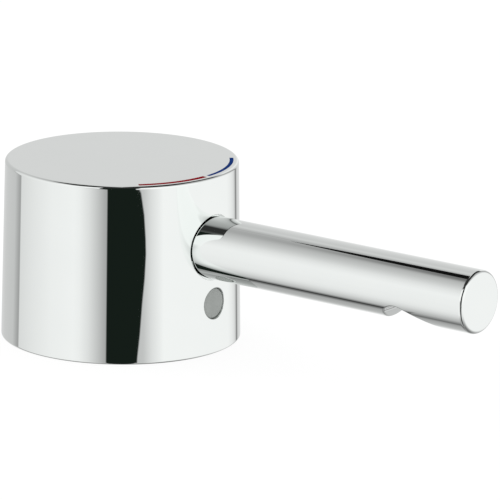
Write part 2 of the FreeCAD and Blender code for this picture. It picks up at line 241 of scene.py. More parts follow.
def lever_place(turn, ring):
    line_wall = LEVER_RADIUS + ROOT_LINE
    line_edge = on_wall(round_pipe(line_wall, LEVER_HEIGHT, turn, 0))
    root_rings = [
        on_wall(round_pipe(line_wall + ROOT_EDGE + BORDER, LEVER_HEIGHT, turn, 0)),
        on_wall(round_pipe(line_wall + ROOT_EDGE, LEVER_HEIGHT, turn, 0)),
        line_edge - Vector((ROOT_EDGE, 0, 0)),
        round_pipe(line_wall, LEVER_HEIGHT, turn, ROOT_FLOOR),
        round_pipe(LEVER_RADIUS, LEVER_HEIGHT, turn, ROOT_FLOOR),
    ]
    if ring < ROOT_RINGS:
        return root_rings[ring]
    x, radius = lever_rings[ring - ROOT_RINGS]
    return round_pipe(radius, LEVER_HEIGHT, turn, x)


lever = formed_tube("lever", LEVER_SEGMENTS, ROOT_RINGS + len(lever_rings), lever_place, close_end=True)
open_wall(LEVER_HEIGHT, LEVER_WINDOW)
bridge_in(lever, BRIDGE_ROWS, on_wall)

# The plug's hole has a softly broken edge, and narrows to the screw's tapped hole
PLUG_HOLE_EDGE = 0.2 * MM
PLUG_SEAT = 13.5 * MM
SCREW_HOLE_RADIUS = 2.55 * MM
SCREW_HOLE_END = 3.0 * MM
EDGE_STEPS = 5
hole_rings = [
    (PLUG_SEAT, PLUG_HOLE_RADIUS),
    (PLUG_SEAT, SCREW_HOLE_RADIUS),
    (SCREW_HOLE_END, SCREW_HOLE_RADIUS),
]


def hole_place(turn, ring):
    if ring > EDGE_STEPS + 1:
        x, radius = hole_rings[ring - EDGE_STEPS - 2]
        return round_pipe(radius, PLUG_HEIGHT, turn, x)
    centre = round_pipe(PLUG_HOLE_RADIUS + PLUG_HOLE_EDGE, PLUG_HEIGHT, turn, 0)
    bend_radius = wall_radius(centre.z) - PLUG_HOLE_EDGE / math.cos(DRAFT)
    centre.x = math.sqrt(bend_radius ** 2 - centre.y ** 2)
    outward = Vector((centre.x, centre.y, centre.x * math.tan(DRAFT))).normalized()
    inward = (round_pipe(0, PLUG_HEIGHT, turn, centre.x) - centre).normalized()
    if ring == 0:
        return on_wall(centre + outward * PLUG_HOLE_EDGE - inward * BORDER)
    return centre + outward.slerp(inward, (ring - 1) / EDGE_STEPS) * PLUG_HOLE_EDGE


hole_segments = 4 * PLUG_WINDOW[2]
hole = formed_tube("hole", hole_segments, EDGE_STEPS + 2 + len(hole_rings), hole_place, close_end=True)
open_wall(PLUG_HEIGHT, PLUG_WINDOW)
bridge_in(hole, BRIDGE_ROWS, on_wall)

# Finger notch under the lever: a steep wall, a round corner and a long ramp
NOTCH_LAND = 5.9 * MM
NOTCH_LENGTH = 13.8 * MM
NOTCH_WALL_ANGLE = math.radians(65)
NOTCH_RAMP_ANGLE = math.radians(20.8)
NOTCH_CORNER = 3.7 * MM
NOTCH_EDGE = 0.5 * MM
notch_bottom = LEVER_HEIGHT - LEVER_RADIUS
notch_turn = NOTCH_WALL_ANGLE + NOTCH_RAMP_ANGLE
wall_slope = math.tan(NOTCH_WALL_ANGLE)
ramp_slope = math.tan(NOTCH_RAMP_ANGLE)
notch_rise = NOTCH_LENGTH * wall_slope * ramp_slope / (wall_slope + ramp_slope)
corner_reach = NOTCH_CORNER * math.tan(notch_turn / 2)
wall_run = notch_rise / math.sin(NOTCH_WALL_ANGLE) - corner_reach
ramp_run = notch_rise / math.sin(NOTCH_RAMP_ANGLE) - corner_reach
corner_run = NOTCH_CORNER * notch_turn
notch_run = wall_run + corner_run + ramp_run


def notch_profile(run):
    """The notch's section at a length along it: its point, and the way that its face looks."""
    start = Vector((REACH - NOTCH_LAND - NOTCH_LENGTH, 0, notch_bottom))
    up_wall = Vector((math.cos(NOTCH_WALL_ANGLE), 0, math.sin(NOTCH_WALL_ANGLE)))
    turn = min(max((run - wall_run) / NOTCH_CORNER, 0), notch_turn)
    facing = NOTCH_WALL_ANGLE - math.pi / 2 - turn
    look = Vector((math.cos(facing), 0, math.sin(facing)))
    wall_look = Vector((math.sin(NOTCH_WALL_ANGLE), 0, -math.cos(NOTCH_WALL_ANGLE)))
    point = start + up_wall * min(run, wall_run) + (wall_look - look) * NOTCH_CORNER
    down_ramp = Vector((math.cos(NOTCH_RAMP_ANGLE), 0, -math.sin(NOTCH_RAMP_ANGLE)))
    return point + down_ramp * max(run - wall_run - corner_run, 0), look


# Rows between the window in the lever and the notch's rounded rim
NOTCH_BRIDGE = 8
# Share of its width that the notch's last ring keeps at least
LEAST_WIDTH = 0.5
notch_segments = 4 * NOTCH_HALF_SEGMENTS + 2 * NOTCH_ROWS
run_start = NOTCH_EDGE * math.tan(NOTCH_WALL_ANGLE / 2)
run_end = notch_run - NOTCH_EDGE * math.tan(NOTCH_RAMP_ANGLE / 2)


def on_lever(point):
    """The point of the lever's round on the same ray from its axis."""
    across = Vector((0, point.y, point.z - LEVER_HEIGHT)).normalized() * LEVER_RADIUS
    return Vector((point.x, 0, LEVER_HEIGHT)) + across


def window_place(step):
    """Length along the lever and angle from its bottom, for a step round the notch's window."""
    side, rows = NOTCH_HALF_SEGMENTS, NOTCH_ROWS
    corners = [0, side, side + rows, 3 * side + rows, 3 * side + 2 * rows, 4 * side + 2 * rows]
    lengths = [NOTCH_START, NOTCH_START, NOTCH_STOP, NOTCH_STOP, NOTCH_START, NOTCH_START]
    angles = [0, side, side, -side, -side, 0]
    part = next(i for i in range(len(corners) - 1) if step <= corners[i + 1])
    share = (step - corners[part]) / (corners[part + 1] - corners[part])
    length = lengths[part] + (lengths[part + 1] - lengths[part]) * share
    angle = angles[part] + (angles[part + 1] - angles[part]) * share
    return length, angle / LEVER_SEGMENTS * math.tau


def notch_place(turn, ring):
    if ring <= NOTCH_BRIDGE:
        rim = notch_place(turn, NOTCH_BRIDGE + 1)
        rim_angle = math.atan2(rim.y, LEVER_HEIGHT - rim.z)
        length, angle = window_place(round(turn * notch_segments))
        share = ring / (NOTCH_BRIDGE + 1)
        angle += (rim_angle - angle) * share
        across = Vector((0, math.sin(angle), -math.cos(angle))) * LEVER_RADIUS
        return Vector((length + (rim.x - length) * share, 0, LEVER_HEIGHT)) + across
    ring -= NOTCH_BRIDGE + 1
    run = run_start + (run_end - run_start) * (1 - math.cos(turn * math.tau)) / 2
    point, look = notch_profile(run)
    centre = point - look * NOTCH_EDGE
    drop = LEVER_HEIGHT - centre.z
    half_width = math.sqrt(max((LEVER_RADIUS - NOTCH_EDGE) ** 2 - drop ** 2, 0))
    if half_width < BORDER:
        half_width = 0.0
    centre.y = half_width if turn <= 0.5 else -half_width
    outward = Vector((0, centre.y, -drop)).normalized()
    share = min(max(ring - 1, 0), EDGE_STEPS) / EDGE_STEPS
    rounded = centre + outward.slerp(look, share) * NOTCH_EDGE
    if ring == 0:
        return on_lever(rounded - (look - outward * look.dot(outward)).normalized() * BORDER)
    if ring == EDGE_STEPS + 2:
        rounded.y *= max(1 - BORDER / max(half_width, BORDER), LEAST_WIDTH)
    return rounded


def in_notch_window(face):
    from_bottom = math.degrees(math.atan2(abs(face.center.y), LEVER_HEIGHT - face.center.z))
    half_angle = 360 / LEVER_SEGMENTS * NOTCH_HALF_SEGMENTS
    return NOTCH_START < face.center.x < NOTCH_STOP and from_bottom < half_angle


notch = formed_tube("notch", notch_segments, NOTCH_BRIDGE + EDGE_STEPS + 4, notch_place)
mesh = bmesh.new()
mesh.from_mesh(notch.data)
rim = [v for v in mesh.verts if v.is_boundary and (on_lever(v.co) - v.co).length > TOUCH]
ends = sorted((v for v in rim if abs(v.co.y) < TOUCH), key=lambda v: v.co.x)
near_side = sorted((v for v in rim if v.co.y < -TOUCH), key=lambda v: v.co.x)
far_side = sorted((v for v in rim if v.co.y > TOUCH), key=lambda v: v.co.x)
rungs = list(zip(near_side, far_side))
for (near, far), (next_near, next_far) in zip(rungs, rungs[1:]):
    mesh.faces.new((near, far, next_far, next_near))
for end, (near, far) in zip(ends, (rungs[0], rungs[-1])):
    mesh.faces.new((end, near, far))
mesh.to_mesh(notch.data)
mesh.free()
edit_picked(handle, "FACE", in_notch_window)
bpy.ops.mesh.delete(type="FACE")
bpy.ops.object.mode_set(mode="OBJECT")
bridge_in(notch)

# The die's core leaves the hollow. The boss round the stem's square socket, the web
# round the screw and three gussets stand in it, down from the ceiling.
WALL = 2.8 * MM
CEILING = HEIGHT - 3.0 * MM
CEILING_BEVEL = 1.5 * MM
REGISTER_RADIUS = 20.4 * MM
REGISTER_LENGTH = 4.0 * MM
BOSS_RADIUS = 8.5 * MM
BOSS_LIFT = 4.2 * MM
BOSS_BEVEL = 0.4 * MM
WEB_RADIUS = 5.4 * MM
GUSSET_HALF = 1.0 * MM
GUSSET_DROP = 7.0 * MM
SOCKET_HALF = 4.1 * MM
SOCKET_TOP = 25.0 * MM
OVERRUN = 1.0 * MM
BOSS_SEGMENTS = 96
WEB_SEGMENTS = 64
in_top = CEILING + OVERRUN
in_wall = wall_radius(HEIGHT) - WALL / 2


def block(name, low, high):
    """A block from its lowest to its highest corner."""
    bpy.ops.object.select_all(action="DESELECT")
    size = [b - a for a, b in zip(low, high)]
    middle = [(a + b) / 2 for a, b in zip(low, high)]
    bpy.ops.mesh.primitive_cube_add(size=1, location=middle, scale=size)
    piece = bpy.context.object
    piece.name = name
    bpy.ops.object.transform_apply()
    return piece


def combine(piece, other, operation):
    """Adds another shape to a piece, or takes it away."""
    shaping = piece.modifiers.new("shaping", "BOOLEAN")
    shaping.operation = operation
    shaping.object = other
    shaping.material_mode = "TRANSFER"
    select_only(piece)
    bpy.ops.object.modifier_apply(modifier=shaping.name)
    bpy.data.objects.remove(other)


def hollow_radius(height):
    return wall_radius(height) - WALL


core = turned("core", [
    (REGISTER_RADIUS, -OVERRUN),
    (REGISTER_RADIUS, REGISTER_LENGTH),
    (hollow_radius(REGISTER_LENGTH), REGISTER_LENGTH),
    (hollow_radius(CEILING - CEILING_BEVEL), CEILING - CEILING_BEVEL),
    (hollow_radius(CEILING) - CEILING_BEVEL, CEILING),
], DRUM_SEGMENTS)
boss = turned("boss", [
    (BOSS_RADIUS - BOSS_BEVEL, BOSS_LIFT),
    (BOSS_RADIUS, BOSS_LIFT + BOSS_BEVEL),
    (BOSS_RADIUS, in_top),
], BOSS_SEGMENTS)
combine(core, boss, "DIFFERENCE")
bpy.ops.object.select_all(action="DESELECT")
bpy.ops.mesh.primitive_circle_add(
    vertices=WEB_SEGMENTS, radius=WEB_RADIUS, fill_type="NGON",
    location=(0, 0, PLUG_HEIGHT), rotation=(0, math.pi / 2, 0))
web = bpy.context.object
bpy.ops.object.transform_apply()
for vertex in web.data.vertices:
    if vertex.co.z > PLUG_HEIGHT + BORDER:
        vertex.co.z = in_top
bpy.ops.object.mode_set(mode="EDIT")
bpy.ops.mesh.select_all(action="SELECT")
bpy.ops.mesh.extrude_region_move(TRANSFORM_OT_translate={"value": (in_wall, 0, 0)})
face_outwards()
combine(core, web, "DIFFERENCE")
gusset_low = CEILING - GUSSET_DROP
side_gussets = block("gusset", (-GUSSET_HALF, -in_wall, gusset_low), (GUSSET_HALF, in_wall, in_top))
back_gusset = block("gusset", (-in_wall, -GUSSET_HALF, gusset_low), (0, GUSSET_HALF, in_top))
combine(side_gussets, back_gusset, "UNION")
combine(core, side_gussets, "DIFFERENCE")
socket_low = (-SOCKET_HALF, -SOCKET_HALF, -OVERRUN / 2)
socket = block("socket", socket_low, (SOCKET_HALF, SOCKET_HALF, SOCKET_TOP))
combine(core, socket, "UNION")


def join(tree, value, socket):
    """Sets a socket to a plain value, or links it to another node's output."""
    if isinstance(value, bpy.types.NodeSocket):
        tree.links.new(value, socket)
    else:
        socket.default_value = value


def math_node(tree, operation, first, second=0.0, third=0.0):
    node = tree.nodes.new("ShaderNodeMath")
    node.operation = operation
    for value, socket in zip((first, second, third), node.inputs):
        join(tree, value, socket)
    return node.outputs[0]


def map_range(tree, value, low, high, to_low=0.0, to_high=1.0):
    node = tree.nodes.new("ShaderNodeMapRange")
    for number, socket in zip((value, low, high, to_low, to_high), node.inputs):
        join(tree, number, socket)
    return node.outputs[0]


def mix_colour(tree, factor, first, second):
    node = tree.nodes.new("ShaderNodeMix")
    node.data_type = "RGBA"
    join(tree, factor, node.inputs[0])
    join(tree, first, node.inputs[6])
    join(tree, second, node.inputs[7])
    return node.outputs[2]


def noise(tree, position, scale, detail):
    node = tree.nodes.new("ShaderNodeTexNoise")
    join(tree, position, node.inputs["Vector"])
    join(tree, scale, node.inputs["Scale"])
    join(tree, detail, node.inputs["Detail"])
    return node.outputs["Fac"]


def bump(tree, height, distance, strength):
    node = tree.nodes.new("ShaderNodeBump")
    join(tree, strength, node.inputs["Strength"])
    join(tree, distance, node.inputs["Distance"])
    join(tree, height, node.inputs["Height"])
    return node.outputs["Normal"]


# Two sizes of unevenness that every finish on the handle has in some measure
BROAD_DETAIL = 3.0
FINE_DETAIL = 4.0
GRAIN_RANGE = (0.3, 0.7)
grain_group = bpy.data.node_groups.new("surface_grain", "ShaderNodeTree")
grain_group.interface.new_socket("Position", in_out="INPUT", socket_type="NodeSocketVector")
grain_group.interface.new_socket("Broad Scale", in_out="INPUT", socket_type="NodeSocketFloat")
grain_group.interface.new_socket("Fine Scale", in_out="INPUT", socket_type="NodeSocketFloat")
grain_group.interface.new_socket("Broad", in_out="OUTPUT", socket_type="NodeSocketFloat")
grain_group.interface.new_socket("Fine", in_out="OUTPUT", socket_type="NodeSocketFloat")
group_in = grain_group.nodes.new("NodeGroupInput").outputs
group_out = grain_group.nodes.new("NodeGroupOutput").inputs
broad = noise(grain_group, group_in["Position"], group_in["Broad Scale"], BROAD_DETAIL)
fine = noise(grain_group, group_in["Position"], group_in["Fine Scale"], FINE_DETAIL)
join(grain_group, map_range(grain_group, broad, *GRAIN_RANGE), group_out["Broad"])
join(grain_group, map_range(grain_group, fine, *GRAIN_RANGE), group_out["Fine"])


def new_material(name, broad_scale, fine_scale):
    """A material with its node tree, its surface shader, its place and its two grains."""
    material = bpy.data.materials.new(name)
    material.use_nodes = True
    tree = material.node_tree
    place = tree.nodes.new("ShaderNodeTexCoord").outputs["Object"]
    grain = tree.nodes.new("ShaderNodeGroup")
    grain.node_tree = grain_group
    join(tree, place, grain.inputs["Position"])
    join(tree, broad_scale, grain.inputs["Broad Scale"])
    join(tree, fine_scale, grain.inputs["Fine Scale"])
    return material, tree, tree.nodes["Principled BSDF"], grain.outputs


def two_tones(tree, surface, grain, tones):
    """Lets the colour drift between two tones with the broad grain."""
    join(tree, mix_colour(tree, grain["Broad"], *tones), surface.inputs["Base Color"])


def varied_gloss(tree, surface, grain, roughness):
    """Lets the roughness vary between two values with the fine grain."""
    join(tree, map_range(tree, grain["Fine"], 0.0, 1.0, *roughness), surface.inputs["Roughness"])


# The chrome is a bright mirror with hardly any haze
CHROME_TONES = ((0.931, 0.957, 0.943, 1), (0.921, 0.948, 0.934, 1))
CHROME_BROAD_HAZE = (0.006, 0.010)
CHROME_FINE_HAZE = 0.003
chrome, tree, surface, grain = new_material("bright_chrome", broad_scale=160.0, fine_scale=2500.0)
two_tones(tree, surface, grain, CHROME_TONES)
surface.inputs["Metallic"].default_value = 1.0
broad_haze = map_range(tree, grain["Broad"], 0.0, 1.0, *CHROME_BROAD_HAZE)
haze = math_node(tree, "MULTIPLY_ADD", grain["Fine"], CHROME_FINE_HAZE, broad_haze)
join(tree, haze, surface.inputs["Roughness"])
handle.data.materials.append(chrome)

# The cast skin inside is dull and faintly grainy
CAST_TONES = ((0.42, 0.42, 0.41, 1), (0.33, 0.33, 0.325, 1))
CAST_SPECK = (0.50, 0.50, 0.49, 1)
CAST_SPECK_SHARE = 0.5
CAST_ROUGHNESS = (0.38, 0.55)
CAST_GRAIN = 0.05 * MM
CAST_GRAIN_STRENGTH = 0.5
cast_skin, tree, surface, grain = new_material("cast_skin", broad_scale=240.0, fine_scale=1400.0)
skin = mix_colour(tree, grain["Broad"], *CAST_TONES)
specks = math_node(tree, "MULTIPLY", grain["Fine"], CAST_SPECK_SHARE)
join(tree, mix_colour(tree, specks, skin, CAST_SPECK), surface.inputs["Base Color"])
surface.inputs["Metallic"].default_value = 1.0
varied_gloss(tree, surface, grain, CAST_ROUGHNESS)
join(tree, bump(tree, grain["Fine"], CAST_GRAIN, CAST_GRAIN_STRENGTH), surface.inputs["Normal"])
core.data.materials.clear()
core.data.materials.append(cast_skin)
combine(handle, core, "DIFFERENCE")

# Grooves of the temperature marks, which the enamel fills
GROOVE_INSET = 1.45 * MM
GROOVE_DEPTH = 0.3 * MM
GROOVE_STEPS = 36
CREASE_ANGLE = math.radians(32)
# First and last angle, and width
GROOVES = ((-42.8, -2.9, 1.1 * MM), (-0.4, 42.0, 0.75 * MM))
groove_radius = wall_radius(HEIGHT) - GROOVE_INSET
for first, last, width in GROOVES:
    bpy.ops.object.select_all(action="DESELECT")
    bpy.ops.mesh.primitive_plane_add(
        size=1, location=(groove_radius, 0, HEIGHT), rotation=(math.pi / 2, 0, 0))
    groove = bpy.context.object
    groove.scale = (width, 2 * GROOVE_DEPTH, 1)
    bpy.ops.object.transform_apply()
    groove.rotation_euler.z = math.radians(first)
    bpy.ops.object.transform_apply()
    bpy.ops.object.mode_set(mode="EDIT")
    bpy.ops.mesh.select_all(action="SELECT")
    bpy.ops.mesh.spin(
        steps=GROOVE_STEPS, angle=math.radians(first - last), center=(0, 0, 0), axis=(0, 0, 1))
    face_outwards()
    groove.data.materials.append(chrome)
    combine(handle, groove, "DIFFERENCE")
bpy.ops.object.shade_smooth_by_angle(angle=CREASE_ANGLE)


def polished_direction(face):
    """Direction rule of the polished round that a face lies on, if it lies on one."""
    points = [handle.data.vertices[i].co for i in face.vertices]
    if all(abs((on_lever(p) - p).length) < TOUCH for p in points):
        return lambda p: Vector((0, p.y, p.z - LEVER_HEIGHT)).normalized()
    if all(abs(math.hypot(p.x, p.y) - wall_radius(p.z)) < TOUCH for p in points):
        return lambda p: Vector((p.x, p.y, math.hypot(p.x, p.y) * math.tan(DRAFT))).normalized()
    return None


# Polishing evens out the wall and the lever, so their faces take the true round's directions
directions = [Vector(corner.vector) for corner in handle.data.corner_normals]
for face in handle.data.polygons:
    rule = polished_direction(face)
    if rule:
        for corner in face.loop_indices:
            directions[corner] = rule(handle.data.vertices[handle.data.loops[corner].vertex_index].co)
handle.data.normals_split_custom_set(directions)
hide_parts("handle_casting")
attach(handle, "root")

# Set screw: an M5 stainless screw with a hexagon socket and a cup point.
# Its thread is rolled, and it clamps the boss on the valve's square stem.
screw_low, screw_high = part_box("set_screw")
SCREW_RADIUS = 2.48 * MM
THREAD_ROOT = 2.02 * MM
PITCH = 0.8 * MM
CREST_HALF = 0.06 * MM
SCREW_CHAMFER = 0.5 * MM
CUP_RADIUS = 1.25 * MM
CUP_DEPTH = 0.6 * MM
HEX_ACROSS = 2.5 * MM
HEX_DEPTH = 3.0 * MM
CENTRE_RADIUS = 0.02 * MM
THREAD_STEPS = 12
SCREW_SEGMENTS = 48
SCREW_CREASE_ANGLE = math.radians(25)
STEEL_TONES = ((0.52, 0.51, 0.50, 1), (0.60, 0.59, 0.58, 1))
STEEL_ROUGHNESS = (0.22, 0.34)
screw_length = screw_high.x - screw_low.x
cup_rings = [(CUP_DEPTH, CENTRE_RADIUS), (0.0, CUP_RADIUS)]
thread_places = even_steps(0.0, screw_length, round(screw_length / PITCH * THREAD_STEPS))
socket_places = [screw_length, screw_length - HEX_DEPTH]


def thread_radius(turn, along):
    """The thread's radius at a turn and a length along the screw, within its end chamfers."""
    from_crest = abs((along / PITCH - turn) % 1.0 - 0.5) * PITCH
    share = min((PITCH / 2 - from_crest) / (PITCH / 2 - CREST_HALF), 1.0)
    chamfer = SCREW_RADIUS - SCREW_CHAMFER + min(along, screw_length - along)
    return min(THREAD_ROOT + (SCREW_RADIUS - THREAD_ROOT) * share, chamfer)


def hex_radius(turn):
    from_flat = (turn * 6 + 0.5) % 1.0 - 0.5
    return HEX_ACROSS / 2 / math.cos(from_flat * math.pi / 3)


def screw_place(turn, ring):
    if ring < len(cup_rings):
        along, radius = cup_rings[ring]
    elif ring < len(cup_rings) + len(thread_places):
        along = thread_places[ring - len(cup_rings)]
        radius = thread_radius(turn, along)
    else:
        along = socket_places[ring - len(cup_rings) - len(thread_places)]
        radius = hex_radius(turn)
    return round_pipe(radius, PLUG_HEIGHT, turn, screw_low.x + along)


screw_rings = len(cup_rings) + len(thread_places) + len(socket_places)
screw = formed_tube("threaded_screw", SCREW_SEGMENTS, screw_rings, screw_place, close_end=True)
edit_rims(screw)
bpy.ops.mesh.edge_face_add()
face_outwards()
bpy.ops.object.shade_smooth_by_angle(angle=SCREW_CREASE_ANGLE)
steel, tree, surface, grain = new_material("turned_steel", broad_scale=500.0, fine_scale=3000.0)
two_tones(tree, surface, grain, STEEL_TONES)
surface.inputs["Metallic"].default_value = 1.0
varied_gloss(tree, surface, grain, STEEL_ROUGHNESS)
screw.data.materials.clear()
screw.data.materials.append(steel)
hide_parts("set_screw")
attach(screw, "root")

# Screw plug: a small cap moulded in grey plastic with a split skirt.
# It is pressed into the hole in front of the set screw, a little below the drum.
PLASTIC_TONES = ((0.30, 0.32, 0.305, 1), (0.33, 0.35, 0.335, 1))
PLASTIC_ROUGHNESS = (0.42, 0.55)
PLASTIC_GRAIN = 0.02 * MM
PLASTIC_GRAIN_STRENGTH = 0.3
plastic, tree, surface, grain = new_material("grey_plastic", broad_scale=600.0, fine_scale=9000.0)
two_tones(tree, surface, grain, PLASTIC_TONES)
varied_gloss(tree, surface, grain, PLASTIC_ROUGHNESS)
join(tree, bump(tree, grain["Fine"], PLASTIC_GRAIN, PLASTIC_GRAIN_STRENGTH), surface.inputs["Normal"])
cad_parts["screw_plug"].data.materials[0] = plastic

# Temperature marks: enamel that fills two arc grooves in the top of the drum,
# red on the hot side of the lever and blue on the cold side.
ENAMELS = {
    "hot_mark": ("red_enamel", (0.18, 0.007, 0.012, 1), (0.21, 0.009, 0.015, 1)),
    "cold_mark": ("blue_enamel", (0.008, 0.028, 0.13, 1), (0.010, 0.034, 0.155, 1)),
}
ENAMEL_ROUGHNESS = (0.22, 0.32)
for node_name, (enamel_name, deep, light) in ENAMELS.items():
    enamel, tree, surface, grain = new_material(enamel_name, broad_scale=800.0, fine_scale=5000.0)
    two_tones(tree, surface, grain, (deep, light))
    varied_gloss(tree, surface, grain, ENAMEL_ROUGHNESS)
    surface.inputs["Specular IOR Level"].default_value = 0.0
    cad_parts[node_name].data.materials[0] = enamel

# Floor: a wide pale board under the handle, lit from below as on a light table,
# so that only a faint shadow lies on it.
BOARD_SIZE = 8.0
BOARD_GAP = 0.02 * MM
BOARD_GLOW = 0.88


def grey(value):
    return (value, value, value, 1)


def matte(surface):
    """Takes all gloss from a surface."""
    surface.inputs["Roughness"].default_value = 1.0
    surface.inputs["Specular IOR Level"].default_value = 0.0


BOARD_TONES = (grey(0.13), grey(0.14))
bpy.ops.object.select_all(action="DESELECT")
bpy.ops.mesh.primitive_plane_add(size=BOARD_SIZE, location=(0, 0, -BOARD_GAP))
board = bpy.context.object
board.name = "floor"
bpy.ops.object.transform_apply()
paper, tree, surface, grain = new_material("pale_board", broad_scale=30.0, fine_scale=400.0)
two_tones(tree, surface, grain, BOARD_TONES)
matte(surface)
surface.inputs["Emission Color"].default_value = grey(1.0)
surface.inputs["Emission Strength"].default_value = BOARD_GLOW
board.data.materials.append(paper)
board.visible_glossy = False
board.visible_diffuse = False

# Studio: large soft panels stand round the handle, with a black flag before the
# camera. Polished metal mirrors the panels, and all else is lit evenly.
# Bearings are in degrees from the camera's right, round past the back and the left.
VIEW_AZIMUTH = 37.365
FIRST_BEARING = 60.0
MIRROR_STRENGTH = 1.05
EVEN_STRENGTH = 1.15
# The panels lean by a share of the height above and below a level, so that the seam
# between them isn't upright
LEAN_LEVEL = -14.0
LEAN_ABOVE = 0.49
LEAN_BELOW = 0.08
SEAM_BEARING = 154.5
SEAM_SOFT = 6.0
PANELS = [
    (60.0, 0.18), (62.0, 0.25), (64.0, 0.52), (68.0, 0.64), (77.0, 0.70), (84.0, 0.79),
    (89.0, 0.87), (96.0, 0.74), (103.0, 0.66), (120.0, 0.58), (154.0, 0.52), (155.0, 0.69),
    (176.0, 0.77), (200.0, 0.85), (225.0, 0.88), (231.0, 0.85), (240.0, 0.73), (248.0, 0.57),
    (256.5, 0.39), (293.0, 0.54), (301.0, 0.72), (313.0, 0.90), (397.0, 0.89), (406.0, 0.82),
    (413.0, 0.72), (417.5, 0.55), (420.0, 0.18),
]
# Light of the panels by height in degrees, on the right of the seam and on its left
RIGHT_FALL = [
    (-90.0, 0.42), (-60.0, 0.42), (-57.0, 0.52), (-54.3, 0.69), (-48.0, 0.72), (-41.0, 0.80),
    (-33.0, 1.0), (16.0, 1.0), (34.0, 1.0), (41.5, 0.96), (48.5, 0.89), (51.0, 0.80),
    (54.3, 0.60), (56.0, 0.20), (58.0, 0.05), (75.0, 0.04), (90.0, 0.04),
]
LEFT_FALL = [
    (-90.0, 0.42), (-60.0, 0.42), (-57.0, 0.50), (-54.3, 0.60), (-51.0, 0.64), (-45.5, 0.78),
    (-41.5, 0.87), (-33.5, 0.97), (-24.0, 1.0), (16.0, 1.0), (24.0, 0.95), (33.0, 0.86),
    (41.0, 0.73), (48.0, 0.62), (51.0, 0.58), (53.0, 0.54), (54.3, 0.48), (56.0, 0.20),
    (58.0, 0.05), (75.0, 0.04), (90.0, 0.04),
]
# In front, the light falls off towards the floor, is plain above the handle, and ends at a
# dark ceiling. The height of the ceiling's edge, as a share of upright, comes down to the left.
FRONT_START = 196.0
FRONT_END = 320.0
FRONT_SOFT = 12.0
FRONT_LOW = [(-90.0, 0.42), (-58.0, 0.42), (-48.0, 0.65), (-38.0, 1.0), (90.0, 1.0)]
PLAIN_FRONT = 0.93
PLAIN_HEIGHTS = (4.0, 14.0)
UPRIGHT = 90.0
CEILING_EDGE = [
    (196.0, 0.478), (215.0, 0.522), (235.0, 0.556), (252.0, 0.556), (260.0, 0.539), (320.0, 0.539),
]
# Light by height over that edge
CEILING_FALL = [(-90.0, 1.0), (-3.0, 1.0), (-1.0, 0.7), (1.0, 0.1), (4.0, 0.03), (90.0, 0.03)]
# Grey wall to the right of the flag, over a panel whose top edge falls off to the right
SIDE_END = 417.0
SIDE_LEAN = 0.55
SIDE_SHADE = [(-90.0, 1.0), (42.0, 1.0), (48.0, 0.82), (56.0, 0.74), (150.0, 0.72)]
SIDE_LOW = [(-90.0, 0.45), (-50.0, 0.52), (-36.0, 0.66), (-24.0, 0.95), (-18.0, 1.0), (90.0, 1.0)]
# Brighter panel close to the flag's right, under the grey wall
NEAR_START = 297.0
NEAR_END = 352.0
NEAR_LOW = -9.0
NEAR_TOP = 40.0
NEAR_SOFT = 4.0
NEAR_LIGHT = 0.955
# Ceiling behind the handle: dark on the right, and lit on the left
BACK_MIDDLE = 58.0
BACK_HALF = 24.0
BACK_SOFT = 6.0
BACK_SHADE = [(-90.0, 1.0), (32.0, 1.0), (40.0, 0.06), (90.0, 0.04)]
LIT_MIDDLE = 96.0
LIT_HALF = 13.0
LIT_SOFT = 4.0
LIT_CEILING = 0.62
LIT_RISE = [(-90.0, 0.0), (36.0, 0.0), (44.0, 1.0), (90.0, 1.0)]
# Gap at the seam, which opens from one height down to another: its middle, its reach to
# the right and to the left, and its depth at both, and the heights where its top fades
GAP_HEIGHTS = (-14.0, -52.0)
GAP_MIDDLE = (-0.3, -2.5)
GAP_RIGHT = (11.0, 19.0)
GAP_LEFT = (1.2, 14.0)
GAP_DEPTH = (0.37, 0.95)
GAP_FADE = (-12.0, 5.0)
# Black flag: its sides, its top and its colour
FLAG_START = 257.8
FLAG_END = 295.6
FLAG_SOFT = 1.2
FLAG_TOP = 49.5
FLAG_TOP_SOFT = 1.5
FLAG_COLOUR = (0.0077, 0.0121, 0.00935, 1)
# The flag's right side bows out by so many degrees, in shares by height
FLAG_BOW_TURN = 10.0
FLAG_BOW = [
    (-14.2, 0.0), (-13.56, 0.20), (-13.34, 0.44), (-13.05, 0.66), (-12.83, 0.88), (-12.6, 1.0),
    (-12.45, 0.96), (-12.22, 0.81), (-12.0, 0.49), (-11.92, 0.10), (-11.82, 0.0),
]
# The flag spreads above the handle, by so many degrees on its left and right, between heights
FLAG_SPREAD_LEFT = 8.0
SPREAD_LEFT_HEIGHTS = (-8.0, 2.0)
FLAG_SPREAD_RIGHT = 6.0
SPREAD_RIGHT_HEIGHTS = (22.0, 30.0)


def ramp(tree, position, stops):
    """A ramp over degrees, from pairs of degrees and value."""
    node = tree.nodes.new("ShaderNodeValToRGB")
    points = node.color_ramp.elements
    while len(points) < len(stops):
        points.new(1.0)
    low = stops[0][0]
    high = stops[-1][0]
    for point, (degrees, value) in zip(points, stops):
        point.position = (degrees - low) / (high - low)
        point.color = grey(value)
    join(tree, map_range(tree, position, low, high), node.inputs[0])
    return node.outputs[0]


def within(tree, value, start, end, soft):
    """A mask between two values, with soft borders inside them."""
    after_start = map_range(tree, value, start, start + soft)
    before_end = map_range(tree, value, end, end - soft)
    return math_node(tree, "MINIMUM", after_start, before_end)


